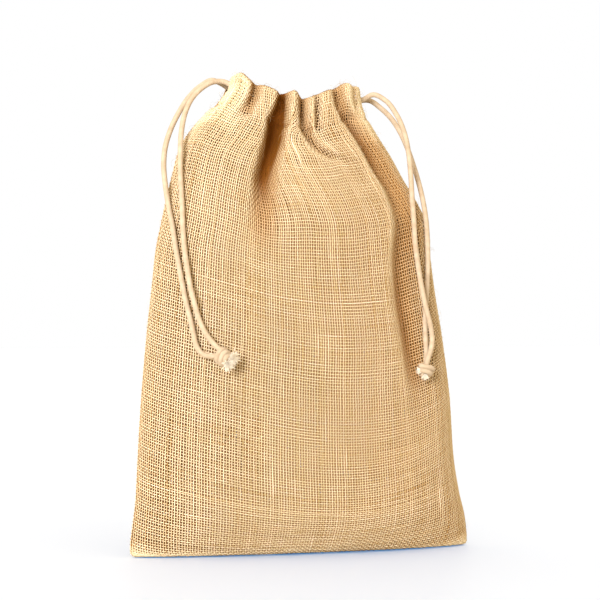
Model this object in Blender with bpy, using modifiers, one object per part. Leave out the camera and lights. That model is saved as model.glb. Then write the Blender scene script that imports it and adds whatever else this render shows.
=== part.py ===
"""A small jute drawstring pouch, standing filled, with two cotton drawcords through its hem.

Metres, +Z up. The face with the deep pleat looks along -Y, and the pouch stands on z = 0.
The pouch is one closed sheet: front and back, a flat base, and a hem turned in over the cords.
"""

import math
from typing import NamedTuple

import bmesh
import bpy
import numpy as np

MM = 0.001

# Cloth.
CLOTH = 1.5 * MM  # thickness of the woven sheet
PANEL_COLUMNS = 42  # cells across the front, and as many across the back
TOP = 270 * MM  # height of the hem's top at the side seams
HEM = 17 * MM  # height of the turned hem
SECTION_SAMPLES = 400  # fine samples along a section before its columns are spaced
NOTCH_CELLS = 3  # cells left open on each side of a side seam, where the cords come out
TURN_CELLS = 6  # cells on each side of a side seam where the hem isn't turned in
CROWN = 2.4 * MM  # height of the hem's rounded top above the wall's last row
CROWN_ROWS = ((0.22, 0.5 * MM), (0.5, 0.0), (0.8, 0.6 * MM))  # share of the way in, drop
TURNED_REACH = 0.64  # share of the mouth's half width that the turned-in part covers
TURNED_ROWS = (2.8 * MM, 7.5 * MM, 15.5 * MM)  # drop of the turned-in part's rows

# Drawcords.
CORD = 3.0 * MM  # diameter
CORD_GAP = 0.75 * MM  # clearance between a cord and the cloth around it
UPPER_CORD = 4.9 * MM  # depth of the left drawcord below the hem's top
LOWER_CORD = 8.5 * MM  # depth of the right drawcord below the hem's top
CHANNEL_MIDDLE = 8.4 * MM  # how far from the mouth's centre line the cords run, at its middle
CHANNEL_END = 3.8 * MM  # and where they come out
CHANNEL_TURN = 0.70  # share of the mouth's half width at which a cord turns back
CHANNEL_EXIT = 0.93  # and at which its hanging ends begin
STEP = 5.5 * MM  # spacing of the points along a cord
FACE_GAP = 0.3 * MM  # gap between two pieces that meet
LIE = CORD / 2 + 0.9 * MM  # a cord's centre above the cloth it lies on


class Level(NamedTuple):
    """The outside of the pouch at one height, in mm."""

    height: float
    left: float  # x of the left side
    right: float  # x of the right side
    front: float  # depth of the front's middle
    back: float  # depth of the back's middle
    square: float  # 2 is a lens, more is squarer


LEVELS = (
    Level(0.0, -97.4, 98.0, 11.0, 11.0, 2.2),
    Level(0.7, -99.0, 99.6, 12.6, 12.6, 2.2),
    Level(2.6, -100.2, 100.2, 14.8, 14.8, 2.2),
    Level(7.0, -100.0, 100.0, 18.6, 18.4, 2.3),
    Level(18.0, -98.7, 98.4, 26.0, 25.4, 2.4),
    Level(32.0, -97.0, 94.8, 30.6, 29.8, 2.5),
    Level(54.0, -95.9, 91.2, 32.6, 31.8, 2.5),
    Level(86.0, -94.0, 89.0, 32.8, 32.5, 2.5),
    Level(120.0, -91.2, 84.6, 32.4, 31.0, 2.5),
    Level(150.0, -88.0, 79.6, 31.4, 30.0, 2.5),
    Level(172.0, -85.6, 76.7, 30.7, 29.0, 2.5),
    Level(188.0, -82.4, 75.2, 30.0, 28.5, 2.5),
    Level(202.0, -79.4, 68.8, 29.5, 28.0, 2.5),
    Level(216.0, -76.0, 60.0, 29.0, 27.5, 2.6),
    Level(229.0, -72.5, 52.6, 28.0, 27.0, 2.7),
    Level(240.0, -66.0, 45.2, 26.5, 26.0, 3.0),
    Level(250.0, -57.2, 39.0, 25.0, 25.0, 3.3),
    Level(258.0, -49.8, 35.2, 24.0, 24.0, 3.6),
    Level(264.0, -46.0, 34.0, 23.8, 23.8, 3.8),
    Level(270.0, -45.0, 33.4, 23.5, 23.5, 4.0),
)
ROUND = 0.60  # how full a section is towards its sides
FULLER_RIGHT = 0.12  # how far right of its middle the front is fullest, as a share

BASE_ROWS = (0.0, 0.5)  # share of the way from the bottom seam to the base's edge
# Heights of the rows up the wall, in mm, to the hem's lower edge and on to its top.
WALL_ROWS = (0, 0.7, 2.6, 8, 18, 31, 46, 62, 80, 98, 116, 134, 151, 167, 181, 194)
WALL_ROWS += (205, 215, 224, 232, 240)
HEM_ROWS = (250.6, 256, 262, 267.6)


class TopEdge(NamedTuple):
    """The hem's top edge, in mm."""

    across: float
    front: float
    back: float


TOP_EDGE = (
    TopEdge(-45.0, 270.0, 269.0),
    TopEdge(-40.5, 272.3, 270.5),
    TopEdge(-36.0, 268.5, 268.5),
    TopEdge(-31.5, 265.6, 267.0),
    TopEdge(-25.0, 263.6, 264.0),
    TopEdge(-16.0, 260.6, 262.5),
    TopEdge(-10.5, 262.0, 260.0),
    TopEdge(-4.4, 258.0, 261.0),
    TopEdge(3.0, 260.2, 259.0),
    TopEdge(9.0, 262.6, 262.5),
    TopEdge(16.0, 264.8, 263.0),
    TopEdge(23.0, 268.0, 267.0),
    TopEdge(28.0, 266.8, 269.0),
    TopEdge(33.5, 268.0, 268.0),
)


class Crease(NamedTuple):
    """A fold where it crosses one height, in mm. A negative depth stands proud."""

    height: float
    across: float
    left: float  # reach to the left of its line
    right: float  # reach to the right
    depth: float
    steep: float = 2.0  # 2 is a soft trough, more has steeper walls


FRONT_FOLDS = {
    "deep_pleat": (
        Crease(272, -15.0, 2.8, 2.2, 11.5, 2.6),
        Crease(262, -15.6, 4.4, 2.4, 13.0, 3.0),
        Crease(250, -17.4, 7.0, 2.8, 16.0, 3.4),
        Crease(240, -18.9, 7.6, 2.5, 16.0, 3.2),
        Crease(231, -21.6, 7.6, 3.0, 14.0, 2.8),
        Crease(222, -25.0, 6.6, 4.2, 12.5, 2.5),
        Crease(214, -27.2, 6.6, 5.6, 11.0, 2.3),
        Crease(205, -27.6, 7.0, 6.6, 9.2, 2.1),
        Crease(194, -28.6, 8.0, 8.4, 6.8, 2.0),
        Crease(180, -29.0, 10.5, 12.0, 3.8, 2.0),
        Crease(156, -27.0, 16.0, 18.0, 0.0, 2.0),
    ),
    "ear_groove": (
        Crease(272, -30.4, 2.4, 1.8, 8.0),
        Crease(263, -31.8, 2.8, 1.9, 8.2),
        Crease(254, -36.2, 3.8, 2.8, 5.0),
        Crease(247, -41.0, 6.0, 5.0, 0.0),
    ),
    "middle_crease": (
        Crease(272, -4.4, 2.8, 2.0, 8.5),
        Crease(258, -4.6, 2.8, 2.2, 9.0),
        Crease(248, -3.6, 2.9, 2.3, 8.0),
        Crease(241.7, -1.4, 3.0, 2.2, 6.5),
        Crease(235.5, 2.0, 3.6, 2.6, 5.0),
        Crease(231, 6.7, 4.5, 3.2, 4.0),
        Crease(228, 11.5, 5.5, 4.0, 3.0),
        Crease(224.5, 20.0, 7.0, 5.0, 0.0),
    ),
    "slit": (
        Crease(272, 3.0, 1.8, 1.8, 2.6),
        Crease(256, 3.2, 1.8, 1.7, 4.4),
        Crease(246, 3.2, 2.2, 2.2, 2.8),
        Crease(239, 3.5, 2.8, 2.8, 0.0),
    ),
    "right_fold": (
        Crease(272, 14.5, 3.0, 3.4, 6.5),
        Crease(260, 16.5, 3.0, 4.4, 7.8),
        Crease(249, 21.8, 3.2, 7.0, 9.0),
        Crease(234, 31.0, 3.2, 11.0, 9.5),
        Crease(220, 38.6, 3.6, 13.0, 8.8),
        Crease(204, 48.4, 4.0, 14.0, 7.6),
        Crease(188, 52.6, 4.6, 15.0, 6.8),
        Crease(165, 50.6, 5.4, 15.0, 5.6),
        Crease(145, 51.6, 6.0, 14.0, 5.2),
        Crease(113, 57.0, 7.0, 12.0, 5.0),
        Crease(92, 60.5, 8.0, 11.0, 3.0),
        Crease(60, 64.0, 9.0, 11.0, 0.0),
    ),
    "right_ear": (
        Crease(272, 26.6, 2.0, 2.4, 3.0),
        Crease(262, 27.0, 2.2, 2.6, 3.6),
        Crease(250, 30.0, 3.0, 3.4, 2.0),
        Crease(240, 34.0, 4.0, 4.0, 0.0),
    ),
}
BACK_FOLDS = {
    "left_pleat": (
        Crease(272, -30.0, 3.0, 3.0, 7.5),
        Crease(256, -32.0, 3.6, 3.6, 8.0),
        Crease(236, -42.0, 5.0, 5.0, 5.5),
        Crease(205, -54.0, 8.0, 8.0, 3.0),
        Crease(160, -58.0, 12.0, 12.0, 0.0),
    ),
    "inner_left_pleat": (
        Crease(272, -17.0, 2.8, 2.8, 8.5),
        Crease(252, -18.5, 3.2, 3.2, 9.5),
        Crease(232, -22.0, 5.0, 5.0, 5.5),
        Crease(206, -25.0, 8.0, 8.0, 0.0),
    ),
    "centre_pleat": (
        Crease(272, -4.0, 3.0, 3.0, 9.0),
        Crease(250, -3.0, 4.0, 4.0, 11.0),
        Crease(228, 0.0, 6.0, 6.0, 7.0),
        Crease(200, 3.0, 10.0, 10.0, 3.0),
        Crease(165, 4.0, 14.0, 14.0, 0.0),
    ),
    "inner_right_pleat": (
        Crease(272, 9.0, 2.8, 2.8, 8.0),
        Crease(252, 10.5, 3.2, 3.2, 8.5),
        Crease(234, 15.0, 5.0, 5.0, 4.5),
        Crease(212, 20.0, 8.0, 8.0, 0.0),
    ),
    "right_pleat": (
        Crease(272, 21.5, 2.8, 2.8, 6.5),
        Crease(254, 24.0, 3.4, 3.4, 7.0),
        Crease(236, 32.0, 5.0, 5.0, 5.0),
        Crease(205, 45.0, 8.0, 8.0, 2.5),
        Crease(170, 49.0, 12.0, 12.0, 0.0),
    ),
}


class Way(NamedTuple):
    """A point of a hanging end's route, in mm. Without a depth the cord lies on the front."""

    across: float
    height: float
    depth: float | None  # y, where the cord hangs clear
    lift: float = 0.0  # further out than a cord that lies on the cloth


# The four hanging ends, from the hem to the knot.
LEFT_FRONT_ROUTE = (
    Way(-54.0, 267.0, -4.3),
    Way(-60.2, 263.2, -4.8),
    Way(-65.6, 257.4, -5.2),
    Way(-69.6, 249.2, -6.4),
    Way(-72.2, 238.6, -9.4),
    Way(-73.4, 226.0, -12.4),
    Way(-73.2, 212.0, None, 1.4),
    Way(-72.8, 198.0, None, 0.6),
    Way(-72.6, 184.0, None, 0.4),
    Way(-72.0, 171.0, None, 1.0),
    Way(-70.8, 160.0, None, 2.2),
    Way(-69.4, 150.0, None, 3.0),
    Way(-67.3, 140.8, None, 2.8),
    Way(-64.8, 132.2, None, 2.2),
    Way(-61.4, 125.0, None, 1.8),
    Way(-57.2, 119.4, None, 1.8),
    Way(-53.2, 115.4, None, 2.6),
)
LEFT_BACK_ROUTE = (
    Way(-52.6, 269.4, 3.6),
    Way(-59.0, 266.0, 3.4),
    Way(-66.0, 259.2, 2.2),
    Way(-72.0, 250.0, 1.2),
    Way(-76.8, 240.2, 0.6),
    Way(-80.0, 230.2, -0.6),
    Way(-81.4, 218.6, -4.0),
    Way(-80.8, 207.6, -6.6),
    Way(-79.4, 197.0, None, 1.5),
    Way(-77.9, 185.6, None, 0.9),
    Way(-76.4, 173.0, None, 0.1),
    Way(-74.8, 162.6, None, 0.0),
    Way(-73.2, 152.6, None, 0.0),
    Way(-71.5, 143.0, None, 0.0),
    Way(-69.5, 134.0, None, 0.0),
    Way(-67.7, 125.4, None, 0.0),
    Way(-66.3, 118.6, None, 0.3),
    Way(-63.6, 114.4, None, 0.9),
    Way(-59.4, 112.8, None, 1.6),
    Way(-55.4, 113.2, None, 2.2),
    Way(-51.8, 112.6, None, 2.6),
)
RIGHT_FRONT_ROUTE = (
    Way(40.4, 263.4, -4.4),
    Way(47.5, 259.8, -7.4),
    Way(53.4, 251.4, -9.8),
    Way(57.6, 240.4, -11.8),
    Way(59.4, 230.0, -13.2),
    Way(60.4, 218.0, -14.2),
    Way(61.3, 204.0, None, 1.2),
    Way(61.4, 190.0, None, 0.8),
    Way(61.4, 177.5, None, 1.4),
    Way(62.4, 163.6, None, 2.4),
    Way(63.8, 151.6, None, 3.8),
    Way(65.4, 142.0, None, 4.6),
    Way(67.6, 133.8, None, 4.6),
    Way(69.4, 127.0, None, 4.2),
    Way(69.9, 120.6, None, 3.8),
    Way(68.6, 114.6, None, 3.6),
    Way(66.6, 109.4, None, 3.4),
    Way(65.2, 105.0, None, 3.2),
)
RIGHT_BACK_ROUTE = (
    Way(41.0, 261.2, 3.8),
    Way(47.8, 257.2, 4.0),
    Way(53.8, 251.2, 2.6),
    Way(58.6, 243.6, 1.0),
    Way(62.0, 235.0, -1.2),
    Way(64.7, 225.6, -3.8),
    Way(67.2, 215.0, -6.6),
    Way(69.2, 204.0, -9.2),
    Way(70.6, 192.0, None, 0.9),
    Way(71.1, 178.0, None, 0.3),
    Way(70.6, 163.6, None, 0.0),
    Way(68.9, 149.6, None, 0.0),
    Way(67.3, 137.0, None, 0.0),
    Way(66.8, 126.4, None, 0.0),
    Way(67.2, 116.6, None, 0.0),
    Way(66.9, 107.0, None, 0.3),
)


class Knot(NamedTuple):
    """Where a knot lies on the front, in mm."""

    across: float
    height: float
    lean: float  # turn in the plane of the front, in degrees
    lift: float  # gap behind it, at its middle
    ends: float  # way its frayed ends point, in degrees up from +X
    towards: float  # how far they are turned towards the viewer
    brush: float  # how wide they are, as a share of a plain tuft


ROUTES = {
    "left_cord_front": LEFT_FRONT_ROUTE,
    "left_cord_back": LEFT_BACK_ROUTE,
    "right_cord_front": RIGHT_FRONT_ROUTE,
    "right_cord_back": RIGHT_BACK_ROUTE,
}
LEFT_KNOT = Knot(-52.6, 112.2, 20.0, 0.6, -34.0, 38.0, 1.45)
RIGHT_KNOT = Knot(66.0, 103.8, -12.0, 0.8, -150.0, 5.0, 1.0)
KNOT_HALF = (4.9 * MM, 4.2 * MM, 4.8 * MM)  # half width, depth and height of a tied knot
KNOT_GROOVE = 0.9 * MM  # how deep the turns of the cord are marked in it
TUFT = (1.9 * MM, 2.9 * MM, 3.2 * MM)  # frayed ends: half width at the knot, at the tip; length
LEAD = 6.0 * MM  # straight run of a hanging end out of the hem


def smooth(at, places, values):
    """Values read at any place, on a curve that doesn't overshoot the table."""
    places, values = np.asarray(places, float), np.asarray(values, float)
    span = np.diff(places)
    slope = np.diff(values) / span
    tangent = np.concatenate([slope[:1], np.zeros(len(slope) - 1), slope[-1:]])
    before, after = slope[:-1], slope[1:]
    same_way = before * after > 0
    total = np.where(same_way, before + after, 1.0)
    tangent[1:-1] = np.where(same_way, 2 * before * after / total, 0.0)
    at = np.clip(np.asarray(at, float), places[0], places[-1])
    i = np.clip(np.searchsorted(places, at) - 1, 0, len(span) - 1)
    t = (at - places[i]) / span[i]
    return (
        values[i] * (1 + 2 * t) * (1 - t) ** 2
        + tangent[i] * span[i] * t * (1 - t) ** 2
        + values[i + 1] * t * t * (3 - 2 * t)
        + tangent[i + 1] * span[i] * t * t * (t - 1)
    )


def column(table, name):
    return [getattr(row, name) for row in table]


def level_value(height, name):
    """One of the outline's measures at a height, both in metres but for squareness."""
    unit = 1 if name == "square" else MM
    return unit * smooth(height / MM, column(LEVELS, "height"), column(LEVELS, name))


def fold_depth(folds, height, across):
    """How far the folds draw the cloth in at these points."""
    total = np.zeros(np.broadcast(height, across).shape)
    for creases in folds.values():
        lines = sorted(creases, key=lambda crease: crease.height)
        heights = column(lines, "height")
        line = MM * smooth(height / MM, heights, column(lines, "across"))
        left = MM * smooth(height / MM, heights, column(lines, "left"))
        right = MM * smooth(height / MM, heights, column(lines, "right"))
        depth = MM * smooth(height / MM, heights, column(lines, "depth"))
        reach = np.where(across < line, left, right)
        steep = smooth(height / MM, heights, column(lines, "steep"))
        total = total + depth * np.exp(-(np.abs((across - line) / reach) ** steep))
    return total


def channel(share):
    """How far the cords run from the mouth's centre line, at a share of its half width."""
    return CHANNEL_MIDDLE - (CHANNEL_MIDDLE - CHANNEL_END) * np.abs(share) ** 6


def mouth_across(share):
    left, right = level_value(TOP, "left"), level_value(TOP, "right")
    return (left + right) / 2 + share * (right - left) / 2


def cord_height(share):
    """Height that the cords would have at the hem's very top, a smooth line along it."""
    ends = np.where(np.asarray(share) < 0, 271.5, 268.5) * MM
    return 259.3 * MM + (ends - 259.3 * MM) * np.abs(share) ** 1.8


def top_edge(share, face):
    """Height of the hem's top at a share of the mouth's half width."""
    across = mouth_across(share) / MM
    return MM * smooth(across, column(TOP_EDGE, "across"), column(TOP_EDGE, face))


def outside(height, share, face):
    """Points on the outside of one face, at a height and at a share of its half width."""
    left, right = level_value(height, "left"), level_value(height, "right")
    across = (left + right) / 2 + share * (right - left) / 2
    square = level_value(height, "square")
    fuller = FULLER_RIGHT * (1 - (height / TOP) ** 4) if face == "front" else 0.0
    off_middle = np.abs(share - fuller * (1 - share**2))
    body = level_value(height, face) * (1 - off_middle**square) ** ROUND
    folds = FRONT_FOLDS if face == "front" else BACK_FOLDS
    depth = body - fold_depth(folds, height, across) * (1 - np.abs(share) ** 8)
    clear = channel(share) + CORD / 2 + CORD_GAP + CLOTH
    near_hem = np.clip((height - TOP + HEM + 0.008) / 0.008, 0, 1)
    held_off = np.maximum(depth, np.minimum(clear, body))
    depth = depth + near_hem * (held_off - depth)
    sag = (top_edge(share, face) - TOP) * (height / TOP) ** 4
    y = -depth if face == "front" else depth
    return np.stack([across, y, height + sag + 0 * across], axis=-1)


def spaced(points, count):
    """The same path with this many points at even distances."""
    steps = np.linalg.norm(np.diff(points, axis=0), axis=1)
    along = np.concatenate([[0.0], np.cumsum(steps)])
    wanted = np.linspace(0, along[-1], count)
    return np.stack([np.interp(wanted, along, axis) for axis in points.T], axis=-1)


def face_rows(face):
    """Points of one face, from the seam under the base up to the hem's top, left to right."""
    shares = -np.cos(np.linspace(0, math.pi, SECTION_SAMPLES))
    wall = []
    for height in WALL_ROWS + HEM_ROWS:
        wall.append(spaced(outside(height * MM, shares, face), PANEL_COLUMNS + 1))
    base = [wall[0] * (1, way_out, 1) for way_out in BASE_ROWS]
    return base + wall


def turned_rows(top_row, face):
    """The hem's crown and its turned-in part, inside the cords."""
    side = -1 if face == "front" else 1
    half = PANEL_COLUMNS / 2
    share = TURNED_REACH * (np.arange(PANEL_COLUMNS + 1) - half) / (half - TURN_CELLS)
    share = np.clip(share, -1, 1)
    inner = np.stack(
        [
            mouth_across(share),
            side * (channel(share) - CORD / 2 - CORD_GAP - CLOTH),
            top_edge(share, face),
        ],
        axis=-1,
    )
    rows = []
    for part_way, drop in CROWN_ROWS:
        row = top_row + (inner - top_row) * part_way
        row[:, 2] = top_row[:, 2] + CROWN - drop
        rows.append(row)
    for drop in TURNED_ROWS:
        row = inner.copy()
        row[:, 2] -= drop
        rows.append(row)
    return rows


def pouch_sheet():
    """The open sheet: a closed ring of columns round front and back, and the turned hem."""
    front, back = face_rows("front"), face_rows("back")
    rows = [np.concatenate([f, b[-2:0:-1]]) for f, b in zip(front, back, strict=True)]
    front_turn = turned_rows(front[-1], "front")
    back_turn = turned_rows(back[-1], "back")
    turned = [np.concatenate([f, b[-2:0:-1]]) for f, b in zip(front_turn, back_turn, strict=True)]
    count = 2 * PANEL_COLUMNS
    sheet = bmesh.new()
    # Under the base, front and back share the points of the bottom seam.
    seam = [sheet.verts.new(rows[0][i]) for i in range(PANEL_COLUMNS + 1)]
    verts = [seam + seam[-2:0:-1]]
    verts += [[sheet.verts.new(point) for point in row] for row in rows[1:] + turned]
    hem_row = len(BASE_ROWS) + len(WALL_ROWS)
    turned_row = hem_row + len(HEM_ROWS) + len(CROWN_ROWS) - 1
    for r in range(len(verts) - 1):
        if r < hem_row:
            left_open = 0
        elif r < turned_row:
            left_open = NOTCH_CELLS
        else:
            left_open = TURN_CELLS
        for c in range(count):
            from_seam = min(c % PANEL_COLUMNS, PANEL_COLUMNS - 1 - c % PANEL_COLUMNS)
            if from_seam < left_open:
                continue
            d = (c + 1) % count
            ring = [verts[r][c], verts[r][d], verts[r + 1][d], verts[r + 1][c]]
            corners = [vert for i, vert in enumerate(ring) if vert not in ring[:i]]
            sheet.faces.new(corners)
    loose = [vert for vert in sheet.verts if not vert.link_faces]
    bmesh.ops.delete(sheet, geom=loose, context="VERTS")
    bmesh.ops.recalc_face_normals(sheet, faces=sheet.faces)
    return sheet


def material(name, colour, roughness):
    made = bpy.data.materials.new(name)
    made.use_nodes = True
    shader = made.node_tree.nodes["Principled BSDF"]
    shader.inputs["Base Color"].default_value = (*colour, 1.0)
    shader.inputs["Roughness"].default_value = roughness
    shader.inputs["Metallic"].default_value = 0.0
    return made


def add_object(name, data, finish, collection):
    made = bpy.data.objects.new(name, data)
    data.materials.append(finish)
    collection.objects.link(made)
    return made


def front_surface(across, height):
    """y of the front's outside at this place, in metres."""
    left, right = level_value(height, "left"), level_value(height, "right")
    share = np.clip((across - (left + right) / 2) / ((right - left) / 2), -0.995, 0.995)
    level = height - (top_edge(share, "front") - TOP) * (height / TOP) ** 4
    return float(outside(np.array(level), np.array(share), "front")[1])


def knot_centre(knot):
    across, height = knot.across * MM, knot.height * MM
    return np.array([across, front_surface(across, height) - KNOT_HALF[1] - knot.lift * MM, height])


def hem_exit(in_hem, face):
    """Two points that carry on straight from one end of the cord in the hem."""
    end, before = in_hem[:2] if face == "front" else in_hem[:-3:-1]
    onward = (end - before) / np.linalg.norm(end - before)
    return [end + onward * 1.5 * FACE_GAP, end + onward * LEAD]


def route_points(route, first):
    """The route's points in metres, with those that lie on the front set on it."""
    points = list(first)
    for way in route:
        across, height = way.across * MM, way.height * MM
        depth = way.depth
        if depth is None:
            y = front_surface(across, height) - LIE - way.lift * MM
        else:
            y = depth * MM
        points.append((across, y, height))
    return np.array(points)


def smooth_path(points, step):
    """A smooth curve through the points, read at even steps."""
    along = np.concatenate([[0.0], np.cumsum(np.linalg.norm(np.diff(points, axis=0), axis=1))])
    tangents = np.gradient(points, along, axis=0)
    fine = []
    for i in range(len(points) - 1):
        span = along[i + 1] - along[i]
        for t in np.linspace(0, 1, 24, endpoint=i == len(points) - 2):
            fine.append(
                points[i] * (1 + 2 * t) * (1 - t) ** 2
                + tangents[i] * span * t * (1 - t) ** 2
                + points[i + 1] * t * t * (3 - 2 * t)
                + tangents[i + 1] * span * t * t * (t - 1)
            )
    fine = np.array(fine)
    length = np.linalg.norm(np.diff(fine, axis=0), axis=1).sum()
    return spaced(fine, max(4, round(length / step) + 1))


def cord_curve(name, points):
    data = bpy.data.curves.new(name, "CURVE")
    data.dimensions = "3D"
    data.bevel_depth = CORD / 2
    data.bevel_resolution = 2
    data.use_fill_caps = True
    spline = data.splines.new("POLY")
    spline.points.add(len(points) - 1)
    for place, point in zip(spline.points, points, strict=True):
        place.co = (*point, 1.0)
    spline.use_smooth = True
    return data


def channel_route(drop, exit_side):
    """One cord's way through the hem: front, round the far side, and back."""
    reach = CHANNEL_EXIT
    turn = mouth_across(-exit_side * CHANNEL_TURN)
    points = []
    for share in np.linspace(exit_side * reach, -exit_side * CHANNEL_TURN, 18):
        points.append((mouth_across(share), -channel(share), cord_height(share) - drop))
    radius = channel(CHANNEL_TURN)
    for angle in np.linspace(0, math.pi, 9)[1:-1]:
        across = turn - exit_side * radius * math.sin(angle)
        share = (across - mouth_across(0)) / (mouth_across(1) - mouth_across(0))
        points.append((across, -radius * math.cos(angle), cord_height(share) - drop))
    for share in np.linspace(-exit_side * CHANNEL_TURN, exit_side * reach, 18):
        points.append((mouth_across(share), channel(share), cord_height(share) - drop))
    return np.array(points)


def knot_solid():
    """A tied knot: a rounded lump with the cord's turns marked slantwise in it."""
    lump = bmesh.new()
    bmesh.ops.create_icosphere(lump, subdivisions=3, radius=1.0)
    for vert in lump.verts:
        x, y, z = vert.co
        turns = math.cos(3.4 * (z + 0.55 * x) + 0.4)
        groove = KNOT_GROOVE * max(0.0, -turns) * (1 - 0.4 * abs(y))
        size = [half - groove for half in KNOT_HALF]
        vert.co = (x * size[0], y * size[1], z * size[2])
    return lump


def tuft_solid(knot):
    """The knot's frayed ends: a short tuft, wider at its tip, pointing away from the knot."""
    near, far, length = (size * knot.brush for size in TUFT)
    tuft = bmesh.new()
    bmesh.ops.create_cone(
        tuft, cap_ends=True, segments=12, radius1=near, radius2=far, depth=length
    )
    way, towards = math.radians(knot.ends), math.radians(knot.towards)
    onward = np.array(
        [math.cos(way) * math.cos(towards), -math.sin(towards), math.sin(way) * math.cos(towards)]
    )
    beside = np.array([math.sin(way), 0.0, -math.cos(way)])
    square = np.cross(onward, beside)
    start = KNOT_HALF[0] + FACE_GAP + length / 2
    for vert in tuft.verts:
        x, y, z = vert.co
        vert.co = onward * (start + z) + beside * x + square * 0.8 * y
    return tuft


def placed(shape, turn, place):
    """The shape turned about Y and moved, as a mesh."""
    c, s = math.cos(turn), math.sin(turn)
    for vert in shape.verts:
        x, y, z = vert.co
        vert.co = (c * x + s * z + place[0], y + place[1], c * z - s * x + place[2])
    mesh = bpy.data.meshes.new("shape")
    shape.to_mesh(mesh)
    shape.free()
    return mesh


def trimmed(points, centre):
    """The path up to where it meets the knot."""
    reach = np.array(KNOT_HALF) + FACE_GAP
    fine = spaced(points, 800)
    inside = np.linalg.norm((fine - centre) / reach, axis=1) < 1
    if inside.any():
        fine = fine[: int(np.argmax(inside))]
    length = np.linalg.norm(np.diff(fine, axis=0), axis=1).sum()
    return spaced(fine, max(4, round(length / STEP) + 1))


def build():
    for old in list(bpy.data.objects):
        bpy.data.objects.remove(old, do_unlink=True)
    collection = bpy.data.collections.new("drawstring_pouch")
    bpy.context.scene.collection.children.link(collection)
    jute = material("jute", (0.62, 0.44, 0.24), 0.9)
    cotton = material("cotton", (0.82, 0.68, 0.47), 0.85)
    tips = material("frayed_cotton", (0.88, 0.82, 0.70), 0.95)

    sheet = pouch_sheet()
    data = bpy.data.meshes.new("pouch")
    sheet.to_mesh(data)
    sheet.free()
    pouch = add_object("pouch", data, jute, collection)
    data.shade_smooth()
    thicken = pouch.modifiers.new("thickness", "SOLIDIFY")
    thicken.thickness = CLOTH
    thicken.offset = -1
    thicken.use_even_offset = True
    thicken.thickness_clamp = 1.0

    for side, knot, drop, exit_side in (
        ("left", LEFT_KNOT, UPPER_CORD, -1),
        ("right", RIGHT_KNOT, LOWER_CORD, 1),
    ):
        in_hem = smooth_path(channel_route(drop, exit_side), STEP * 0.8)
        name = side + "_cord_in_hem"
        add_object(name, cord_curve(name, in_hem), cotton, collection)
        centre = knot_centre(knot)
        name = side + "_knot"
        mesh = placed(knot_solid(), math.radians(knot.lean), centre)
        mesh.shade_smooth()
        add_object(name, mesh, cotton, collection)
        name = side + "_frayed_ends"
        add_object(name, placed(tuft_solid(knot), 0.0, centre), tips, collection)
        for face in ("front", "back"):
            name = f"{side}_cord_{face}"
            points = route_points(ROUTES[name], hem_exit(in_hem, face))
            path = smooth_path(points, STEP)
            add_object(name, cord_curve(name, trimmed(path, centre)), cotton, collection)


build()
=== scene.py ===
"""The looks of a small jute drawstring pouch: its open plain weave, yarn by yarn, and its cords.

Metres, +Z up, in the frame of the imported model. The face with the deep pleat looks along -Y.
"""

import math
from typing import NamedTuple

import bmesh
import bpy
import numpy as np
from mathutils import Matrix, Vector


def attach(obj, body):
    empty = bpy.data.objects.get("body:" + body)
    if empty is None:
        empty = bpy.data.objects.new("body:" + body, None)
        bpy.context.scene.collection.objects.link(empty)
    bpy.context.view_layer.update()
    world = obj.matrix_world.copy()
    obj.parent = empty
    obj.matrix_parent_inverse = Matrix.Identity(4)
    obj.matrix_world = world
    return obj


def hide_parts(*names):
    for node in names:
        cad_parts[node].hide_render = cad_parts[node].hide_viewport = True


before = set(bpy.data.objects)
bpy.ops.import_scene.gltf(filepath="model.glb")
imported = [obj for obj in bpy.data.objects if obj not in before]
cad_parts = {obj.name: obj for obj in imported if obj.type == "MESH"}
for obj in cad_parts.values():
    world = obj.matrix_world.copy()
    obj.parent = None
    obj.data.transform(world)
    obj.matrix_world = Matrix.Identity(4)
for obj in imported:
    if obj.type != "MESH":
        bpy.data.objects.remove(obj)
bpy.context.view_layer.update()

MM = 0.001

# Photograph.
PHOTO = 600  # its width and height in pixels
VIEW_CENTRE = (303.0, 320.3)  # pixel that the camera's axis meets
CAMERA_TURN = 14.0  # degrees to the left of the front
CAMERA_AWAY = 0.85
CAMERA_HEIGHT = 0.1326
SENSOR = 36.0  # mm
LENS = 88.5  # mm
SKY = (1.14, 0.95, 0.67)  # the even light from all round
KEY_PLACE = (-1.06, -1.46, 0.52)
KEY_AIM = (0, 0, 0.12)
KEY_SIZE = 0.72
KEY_POWER = 47.5  # W
KEY_COLOUR = (0.96, 0.96, 1.0)
PAPER = 0.9  # share of the light that it gives back
PAPER_WHITE = 1.04  # how bright it shows
PAPER_REACH = 6.0  # half its width
PAPER_DROP = 0.4 * MM  # how far below the pouch it lies

# Cloth.
CLOTH = 1.5 * MM  # thickness of the woven sheet
CLOTH_MIDDLE = 0.57 * MM  # depth of the yarns' lines below its outside
PANEL_CELLS = 42  # cells across a panel of the model
TURN_CELLS = 6  # of them at each side seam, where the hem isn't turned in
OUTWARD = {"front": 1, "back": -1}  # towards -Y or away from it
TOP = 270 * MM  # height of the hem's top at the side seams
HEM = 17 * MM  # height of the turned hem
HEM_BELOW = 8 * MM  # height below it over which the cloth comes clear of the cords
CROWN = 2.4 * MM  # height of its rounded top above the wall
TURNED_REACH = 0.64  # share of the mouth that the turned-in part covers
TURNED_DROP = 15.5 * MM  # how far the turned-in part goes down
TURNED_FOLD_SHADE = 12 * MM  # the turned-in part gets the painted shade of a fold this deep
FINE_DARKER = 1.6  # how much deeper than it is a fine crease counts, in the painted fold shade and in how close the warp yarns lie
FOOT = 8.0  # mm, height up to which the wall's rows are finer
LAST_WALL = 267.6  # mm, height of the wall's last row, at the side seams
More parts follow.
